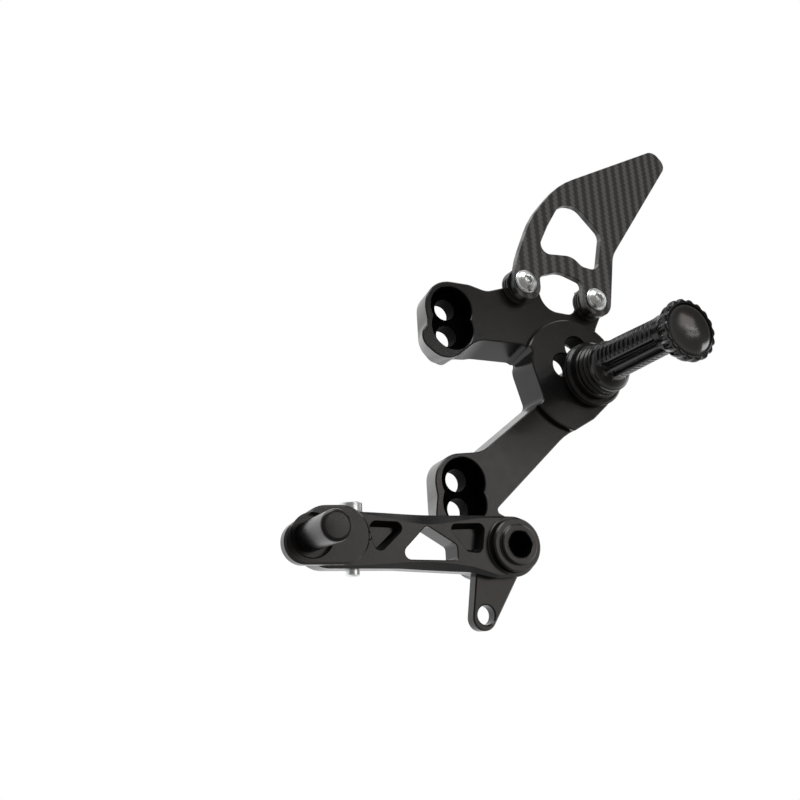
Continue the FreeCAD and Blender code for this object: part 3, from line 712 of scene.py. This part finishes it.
def drill_boss(plate):
    """The back hollow with the spare holes and the peg bolt's seat in its floor; returns the
    loops of the hollow's mouth and of the spare holes' front mouths."""
    mouth, floor = plate.mouth_rings(round_hole(*HOLLOW), 0.0, HOLLOW_DEEP, 0.6, 0.0)
    floor_holes, crest_holes = [], []
    for x, z in SPARE_HOLES:
        hole = round_hole(x, z, SPARE_RADIUS)
        low, high = plate.mouth_rings(hole, HOLLOW_DEEP, BOSS_FRONT, 0.4, 0.6)
        floor_holes.append(low)
        crest_holes.append(high)
    radius, end = PEG_SEAT
    low, high = plate.mouth_rings(round_hole(*PEG_AXIS, radius), HOLLOW_DEEP, end, 0.4, 0.0)
    plate.cap(high)
    plate.cap(floor, [*floor_holes, low])
    return mouth, crest_holes


def drill_frame_pair(plate, z_mid):
    """A pair of frame holes and the pocket over them; returns the holes' back mouths and the
    pocket's front mouth."""
    floor, mouth = plate.mouth_rings(figure_eight(z_mid), POCKET_FLOOR, PLATE_FRONT, 0.0, 0.5)
    back_holes, floor_holes = [], []
    for side in (-0.5, 0.5):
        hole = round_hole(0, z_mid + side * FRAME_PITCH, FRAME_HOLE_RADIUS)
        low, high = plate.mouth_rings(hole, 0.0, POCKET_FLOOR, 0.5, 0.3)
        back_holes.append(low)
        floor_holes.append(high)
    plate.cap(floor, floor_holes)
    return back_holes, mouth


def make_bracket(materials):
    plate = Solid()
    parts = boss_parts()
    outline = [p for boss_run, field_run, _ in parts for p in boss_run[:-1] + field_run[:-1]]
    back, ears_back = draw_back(plate, outline)
    fields = draw_walls(plate, parts)
    crest = draw_boss(plate, parts)

    hollow_mouth, crest_holes = drill_boss(plate)
    back_holes = [hollow_mouth]
    pocket_mouths = []
    for z_mid in FRAME_PAIRS:
        mouths, pocket_mouth = drill_frame_pair(plate, z_mid)
        back_holes += mouths
        pocket_mouths.append(pocket_mouth)
    low, high = plate.mouth_rings(round_hole(*PIVOT, 5.1), 0.0, 6.0, 0.5, 0.0)
    plate.cap(high)
    plate.cap(back, [*back_holes, low])
    plate.cap(ears_back)
    plate.cap(crest, crest_holes)
    for front in fields:
        is_upper = max(plate.points[i][2] for i in front) > 0
        plate.cap(front, [pocket_mouths[0 if is_upper else 1]])
    for x, z in GUARD_SCREWS:
        plate.lathe(x, z, [(3.2, 16.5), (9.0, 16.5), (9.0, EAR_PAD_FRONT - 0.4),
                           (8.6, EAR_PAD_FRONT), (3.2, EAR_PAD_FRONT)])
    piece("bracket", plate, "bracket", "plate_anodised", materials,
          ["bracket_plate"])


# ---------------------------------------------------------------- heel guard
GUARD = [
    (30.4, 12.0, 7.9),
    (35.0, 33.3, 60.0),
    (46.3, 59.0, 60.0),
    (66.0, 82.0, 60.0),
    (137.5, 118.6, 6.5),
    (145.9, 110.0, 5.5),
    (98.3, 45.2, 16.0),
    (91.4, 8.0, 8.8),
    (73.8, 8.0, 9.0),
    (75.2, 26.0, 3.0),
    (61.5, 30.3, 14.0),
    (48.7, 26.0, 3.5),
    (48.7, 12.0, 8.4),
]
GUARD_WINDOW = [
    (66.7, 71.2, 11.5),
    (78.0, 70.3, 8.0),
    (91.5, 56.5, 6.0),
    (86.1, 34.2, 5.0),
    (76.5, 35.2, 6.0),
    (70.5, 40.4, 10.0),
    (51.8, 39.1, 5.0),
    (51.4, 45.4, 4.0),
    (56.7, 55.6, 14.0),
]


def make_guard(materials):
    guard = Solid()
    back, front = guard.edge_rings(rounded(GUARD), GUARD_BACK, GUARD_FRONT, 0.35, 0.35)
    holes = [counterclockwise(rounded(GUARD_WINDOW))]
    holes += [round_hole(x, z, GUARD_HOLE_RADIUS) for x, z in GUARD_SCREWS]
    rings = [guard.mouth_rings(h, GUARD_BACK, GUARD_FRONT, 0.3, 0.3) for h in holes]
    guard.cap(back, [r[0] for r in rings])
    guard.cap(front, [r[1] for r in rings])
    piece("carbon_guard", guard, "bracket", "carbon_laminate", materials,
          ["heel_guard"])


def make_guard_fasteners(materials):
    spacers = Solid()
    screws = Solid()
    for x, z in GUARD_SCREWS:
        spacers.lathe(x, z, [
            (3.1, EAR_PAD_FRONT), (8.3, EAR_PAD_FRONT), (8.9, 18.5), (8.9, 19.0), (8.4, 19.4),
            (8.4, 20.2), (8.9, 20.6), (8.9, 21.1), (8.4, GUARD_BACK), (3.1, GUARD_BACK),
        ])
        dome = [(5.3 * math.sin(math.radians(a)) + 0.4, 25.9 + 2.45 * math.cos(math.radians(a)))
                for a in (90, 78, 64, 50, 38)]
        screws.lathe(x, z, [
            (2.4, 8.8), (2.95, 9.3), (2.95, 24.9), (5.9, GUARD_FRONT), (6.2, 25.2), (6.2, 25.7),
            (5.95, 25.95), *dome, (3.1, 28.3), (2.75, 28.3),
            (hexagon_reach(4.0), 28.05), (hexagon_reach(4.0), 26.3), (0.0, 25.6),
        ])
    piece("spacers", spacers, "bracket", "ring_metal", materials, ["guard_spacers"])
    piece("button_screws", screws, "bracket", "zinc_steel", materials, ["guard_screws"])


# ---------------------------------------------------------------- foot peg
def barrel_radius(height, angle):
    """The radius of the peg's grip at a height above the lock ring and at an angle. Three wide
    toothed ribs alternate with pairs of flutes, each pair divided by a thin ridge, and the grip
    is fuller towards the sole of the boot."""
    core = 9.9 - 0.8 * smooth_step(height, 14, 50)
    swell = 2.4 * (1 - smooth_step(height, 8.6, 14.0))
    towards_sole = math.cos(angle - math.radians(116))
    lean = 1.9 * smooth_step(height, 7, 14) * towards_sole
    first_ridge, third = 220, 120
    off_ridge = abs((math.degrees(angle) - first_ridge + third / 2) % third - third / 2)
    grip = smooth_step(height, 11.0, 14.0) * (1 - smooth_step(height, 49.5, 52.0))
    flute = 2.3 * smooth_step(off_ridge, 2.5, 13) * (1 - smooth_step(off_ridge, 21, 32))
    first_tooth, tooth_pitch = 12.4, 3.2
    along = (height - first_tooth) / tooth_pitch % 1
    tooth = smooth_step(along, 0.0, 0.25) * (1 - smooth_step(along, 0.6, 0.85))
    notch = 0.38 * (1 - tooth) * smooth_step(off_ridge, 31, 38)
    return core + swell + lean - grip * (flute + notch)


def make_peg_base(materials):
    flange = Solid()
    flange.lathe(*PEG_AXIS, [
        (5.3, BOSS_FRONT), (16.4, BOSS_FRONT), (17.0, 20.6), (17.0, 22.2), (16.5, 22.5),
        (16.5, 22.9), (17.0, 23.2), (17.0, 24.3), (15.8, FLANGE_FRONT), (5.3, FLANGE_FRONT),
    ])
    piece("peg_flange", flange, "bracket", "ring_metal", materials, ["peg_base_flange"])
    ring = Solid()
    ring.lathe(*PEG_AXIS, [(5.3, FLANGE_FRONT), (13.8, FLANGE_FRONT), (14.2, 25.9), (14.2, 27.9),
                           (13.6, RING_FRONT), (5.3, RING_FRONT)])
    piece("lock_ring", ring, "bracket", "ring_metal", materials, ["peg_lock_ring"])


def make_barrel(materials):
    root = [(4.0, RING_FRONT), (13.4, RING_FRONT), (13.7, 28.9), (13.7, 30.2), (13.3, 30.7),
            (12.6, 31.2), (12.6, 31.7), (13.2, 32.2), (13.3, 33.2), (12.9, 33.9), (12.3, 34.3),
            (12.3, 34.8), (12.9, 35.3), (12.9, 36.2), (12.4, 36.9)]
    grip = []
    steps = 290
    for k in range(steps + 1):
        height = GRIP_FOOT + (GRIP_TOP - GRIP_FOOT) * k / steps
        grip.append((lambda angle, h=height: barrel_radius(h, angle), RING_FRONT + height))
    collar = [(lambda angle: barrel_radius(GRIP_TOP + 1, angle) + 0.5, CAP_BACK - 1.4),
              (11.6, CAP_BACK), (4.0, CAP_BACK)]
    barrel = Solid()
    barrel.lathe(*PEG_AXIS, root + grip + collar, count=240)
    piece("peg_barrel", barrel, "bracket", "peg_anodised", materials, ["foot_peg"])


def make_cap(materials):
    scallops = 18

    def scallop(radius, deep=1.0):
        def reach(angle):
            return radius - deep * (0.5 - 0.5 * math.cos(scallops * angle)) ** 1.6
        return reach

    rim = [(4.0, CAP_BACK), (11.4, CAP_BACK), (scallop(12.3, 0.5), 86.3), (scallop(13.6, 0.9), 88.2),
           (scallop(14.5), CAP_FRONT - 3.8), (scallop(14.7), CAP_FRONT - 2.8),
           (scallop(14.7), CAP_FRONT - 1.2), (scallop(14.4, 0.9), CAP_FRONT - 0.5),
           (scallop(13.7, 0.6), CAP_FRONT - 0.05), (13.1, CAP_FRONT), (12.7, CAP_FRONT - 0.2)]
    dish = []
    for degrees in range(0, 91, 6):
        a = math.radians(degrees)
        dish.append((CAP_LIP * math.cos(a), CAP_FRONT - 0.4 - DISH_DEEP * math.sin(a)))
    cap = Solid()
    cap.lathe(PEG_AXIS[0], PEG_AXIS[1] - CAP_DROP, rim + dish, count=288)
    piece("peg_cap", cap, "bracket", "peg_anodised", materials, ["peg_end_cap"])


def make_peg_bolt(materials):
    socket = hexagon_reach(8.0)
    bolt = Solid()
    bolt.lathe(*PEG_AXIS, [
        (0.0, 5.4), (socket, 5.0), (socket, 0.8), (5.0, 0.4), (7.4, 0.4), (8.0, 1.0),
        (8.0, 10.4), (4.9, 10.4), (4.9, 28.0), (0.0, 28.0),
    ])
    piece("peg_bolt", bolt, "bracket", "black_steel", materials, ["peg_mount_bolt"])


# ---------------------------------------------------------------- shift lever
LEVER = [
    (-83.7, -99.1, 11.9),
    (28.8, -100.2, 13.2),
    (28.8, -126.8, 13.4),
    (6.5, -127.5, 8.0),
    (-6.0, -124.8, 12.0),
    (-40.0, -123.0, 30.0),
    (-83.7, -122.8, 11.6),
]
LEVER_WINDOW = [
    (-27.5, -104.8, 2.0),
    (-13.2, -113.2, 2.5),
    (-13.2, -119.8, 2.0),
    (-42.6, -119.2, 3.0),
]
LEVER_POCKETS = (
    [(-55.0, -103.2, 3.0), (-35.6, -103.8, 2.6), (-51.3, -118.0, 3.0)],
    [(-17.8, -104.2, 2.2), (1.6, -103.6, 2.8), (-0.8, -116.6, 3.0), (-8.0, -116.0, 2.6)],
)
TAB = [(-0.6, -121.0, 0), (24.0, -121.0, 0), (4.9, -149.8, 6.2), (-5.2, -149.8, 5.6)]


def lever_bevel(x, z):
    """The lever's front bevel: a narrow break at the ends, scooped wide along the arm."""
    if z > PIVOT[1] + 2:
        return 0.9 + 3.9 * math.exp(-(((x + 27) / 19) ** 2))
    return 0.9 + 2.4 * math.exp(-(((x + 24) / 24) ** 2))


def keyhole():
    """The clamp's bore with the slot that runs out of it along the lever."""
    low, high, end = -112.6, -106.8, -53.8
    first = math.asin((high - CLAMP[1]) / CLAMP_BORE)
    last = 2 * math.pi + math.asin((low - CLAMP[1]) / CLAMP_BORE)
    bore = arc(*CLAMP, CLAMP_BORE, first, last, 56)
    half = (high - low) / 2
    nose = arc(end - half, (low + high) / 2, half, -math.pi / 2, math.pi / 2, 14)
    return tidy(bore + nose)


def draw_tab(lever):
    """The tab under the hub, with its hole for the shift rod."""
    outline = counterclockwise(rounded(TAB))
    back, front = lever.edge_rings(outline, LEVER_BACK, TAB_FRONT, 0.5, 0.6)
    low, high = lever.mouth_rings(round_hole(*ROD_HOLE), LEVER_BACK, TAB_FRONT, 0.5, 0.6)
    lever.cap(back, [low])
    lever.cap(front, [high])


def make_lever(materials):
    lever = Solid()
    loop = subdivide(counterclockwise(rounded(LEVER)), 1.5)
    bevels = [lever_bevel(*p) for p in loop]
    rings = [
        lever.ring(inset(loop, 0.6), LEVER_BACK),
        lever.ring(loop, LEVER_BACK + 0.6),
        lever.ring(loop, [LEVER_FRONT - b for b in bevels]),
        lever.ring(inset(loop, bevels), LEVER_FRONT),
    ]
    lever.walls(rings)
    back_holes, front_holes = [], []
    through = [
        counterclockwise(rounded(LEVER_WINDOW)),
        counterclockwise(keyhole()),
        round_hole(*PIVOT, HUB_BORE),
    ]
    for hole in through:
        low, high = lever.mouth_rings(hole, LEVER_BACK, LEVER_FRONT, 0.4, 0.45)
        back_holes.append(low)
        front_holes.append(high)
    for corners in LEVER_POCKETS:
        hollow = counterclockwise(rounded(corners))
        slopes = [lever.ring(inset(hollow, by), LEVER_FRONT - down)
                  for by, down in ((-0.3, 0.0), (0.1, 0.5), (0.9, 4.6), (1.7, 5.6))]
        lever.walls(slopes)
        front_holes.append(slopes[0])
        lever.cap(slopes[-1])
    lever.cap(rings[0], back_holes)
    lever.cap(rings[-1], front_holes)
    lip = HUB_BORE + 0.1
    lever.lathe(*PIVOT, [(lip, LEVER_FRONT - 0.5), (13.2, LEVER_FRONT - 0.5), (13.2, HUB_FRONT - 0.3),
                         (12.9, HUB_FRONT), (lip, HUB_FRONT)])
    draw_tab(lever)
    piece("lever_arm", lever, "lever", "lever_anodised", materials,
          ["shift_lever"])


def make_pivot_bolt(materials):
    socket = hexagon_reach(10.0)
    bolt = Solid()
    bolt.lathe(*PIVOT, [
        (4.0, 1.0), (5.0, 2.0), (5.0, PLATE_FRONT), (6.0, PLATE_FRONT), (6.0, 32.3), (11.5, 32.3),
        (12.0, 32.8), (12.0, 34.3), (11.4, 34.9), (9.3, 34.9), (8.9, 35.2), (8.9, 36.4),
        (8.4, 36.9), (6.6, 36.9), (hexagon_reach(10.4), 36.5), (socket, 36.2), (socket, 30.6),
        (0.0, 29.5),
    ])
    piece("shoulder_bolt", bolt, "bracket", "lever_anodised", materials,
          ["pivot_bolt"])


# ---------------------------------------------------------------- toe piece
CARRIER = [
    (-56.6, -97.4, 12.0),
    (-56.6, -121.9, 11.4),
    (-93.6, -121.9, 9.0),
    (-93.2, -108.2, 8.4),
    (-79.2, -98.1, 12.0),
]


def make_toe(materials):
    carrier = Solid()
    loop = counterclockwise(rounded(CARRIER))
    back, front = carrier.edge_rings(loop, CARRIER_BACK, CARRIER_FRONT, 0.7, 0.9)
    low, high = carrier.mouth_rings(round_hole(*TOE, 8.8), TOE_SEAT, CARRIER_FRONT, 0.0, 0.5)
    carrier.cap(back)
    carrier.cap(front, [high])
    carrier.cap(low)
    carrier.lathe(*CLAMP, [(0.0, 19.3), (7.3, 19.3), (7.95, 19.9), (7.95, 31.0), (0.0, 31.0)])
    piece("toe_plate", carrier, "toe", "toe_anodised", materials, ["toe_carrier"])
    peg = Solid()
    peg.lathe(*TOE, [
        (2.6, TOE_SEAT), (6.1, TOE_SEAT), (6.35, TOE_SEAT + 0.3), (6.35, TOE_TIP - 1.4),
        (6.1, TOE_TIP - 0.7), (5.5, TOE_TIP - 0.2), (4.6, TOE_TIP), (0.0, TOE_TIP),
    ])
    piece("toe_pin", peg, "toe", "toe_anodised", materials, ["toe_peg"])


# ---------------------------------------------------------------- studio
def make_world(scene):
    """A white room: bright behind the plate, dimmer and warmer on the side it is seen from."""
    world = bpy.data.worlds.new("studio")
    scene.world = world
    world.use_nodes = True
    tree = world.node_tree
    room = tree.nodes["Background"]
    place = tree.nodes.new("ShaderNodeTexCoord")
    split = tree.nodes.new("ShaderNodeSeparateXYZ")
    depth = tree.nodes.new("ShaderNodeMapRange")
    depth.interpolation_type = "SMOOTHSTEP"
    for socket, number in zip(depth.inputs[1:5], (-0.55, 0.35, 0.0, 1.0)):
        socket.default_value = number
    tint = tree.nodes.new("ShaderNodeMix")
    tint.data_type = "RGBA"
    tint.inputs[6].default_value = (0.24, 0.22, 0.205, 1)
    tint.inputs[7].default_value = (1.1, 1.1, 1.1, 1)
    plain = tree.nodes.new("ShaderNodeBackground")
    plain.inputs["Color"].default_value = (1, 1, 1, 1)
    seen = tree.nodes.new("ShaderNodeLightPath")
    choice = tree.nodes.new("ShaderNodeMixShader")
    for source, socket in (
        (place.outputs["Generated"], split.inputs[0]),
        (split.outputs["Y"], depth.inputs["Value"]),
        (depth.outputs[0], tint.inputs[0]),
        (tint.outputs[2], room.inputs["Color"]),
        (seen.outputs["Is Camera Ray"], choice.inputs[0]),
        (room.outputs[0], choice.inputs[1]),
        (plain.outputs[0], choice.inputs[2]),
        (choice.outputs[0], tree.nodes["World Output"].inputs["Surface"]),
    ):
        tree.links.new(source, socket)


def make_floor():
    mesh = bpy.data.meshes.new("floor")
    reach, level = 2.2, -0.6
    rim = [polar(0, 0, reach, math.radians(a)) for a in range(0, 360, 5)]
    mesh.from_pydata([(x, y, level) for x, y in rim], [], [tuple(range(len(rim)))])
    obj = bpy.data.objects.new("floor", mesh)
    paint = Shader("pale_floor")
    speck = paint.noise(30, 2, 0.5)
    mesh.materials.append(paint.set(
        Base_Color=paint.mix(speck, (0.9, 0.9, 0.9), (0.94, 0.94, 0.94)),
        Roughness=0.9,
        Emission_Color=(1, 1, 1),
        Emission_Strength=0.25,
    ))
    bpy.context.collection.objects.link(obj)
    obj.visible_glossy = False
    obj.visible_diffuse = False


def softbox(name, place, size, watts, colour=(1, 1, 1)):
    """A rectangular lamp aimed at the middle of the assembly."""
    light = bpy.data.lights.new(name, "AREA")
    light.shape = "RECTANGLE"
    light.size, light.size_y = size
    light.energy = watts
    light.color = colour
    lamp = bpy.data.objects.new(name, light)
    lamp.location = place
    aim = Vector((0.02, -0.03, -0.03)) - Vector(place)
    lamp.rotation_euler = aim.to_track_quat("-Z", "Y").to_euler()
    bpy.context.collection.objects.link(lamp)


def make_studio():
    scene = bpy.context.scene
    scene.view_settings.view_transform = "Standard"
    make_world(scene)
    make_floor()
    softbox("overhead", (-0.3, -0.6, 1.3), (1.2, 0.8), 13)
    softbox("low_front", (0.75, -1.35, -0.05), (0.9, 0.6), 2.4, (1.0, 0.93, 0.87))
    for height in (0.22, 0.42):
        softbox(f"strip_{height}", (0.5, -1.3, height), (0.7, 0.05), 0.5)


def make_camera():
    camera = bpy.data.objects.new("camera", bpy.data.cameras.new("camera"))
    right = Vector((0.9094, -0.4131, -0.0485))
    up = Vector((-0.0733, -0.2739, 0.9590))
    up = (up - right * right.dot(up)).normalized()
    back = right.normalized().cross(up)
    turn = Matrix((right.normalized(), up, back)).transposed().to_4x4()
    camera.matrix_world = Matrix.Translation((-0.1940, -0.3630, -0.1561)) @ turn
    camera.data.sensor_width = 36
    camera.data.lens = 38.7
    camera.data.clip_start = 0.01
    bpy.context.collection.objects.link(camera)
    bpy.context.scene.camera = camera


def dress_nodes(materials):
    """Gives each CAD node that stays visible its own material."""
    for entry in frame["record"]["subparts"]:
        obj = frame["nodes"].get(entry["node"])
        if obj is None:
            continue
        for slot in obj.material_slots:
            slot.material = materials[entry["material_slot"]]


materials = make_materials()
dress_nodes(materials)
make_bracket(materials)
make_guard(materials)
make_guard_fasteners(materials)
make_peg_base(materials)
make_barrel(materials)
make_cap(materials)
make_peg_bolt(materials)
make_lever(materials)
make_pivot_bolt(materials)
make_toe(materials)
make_studio()
make_camera()
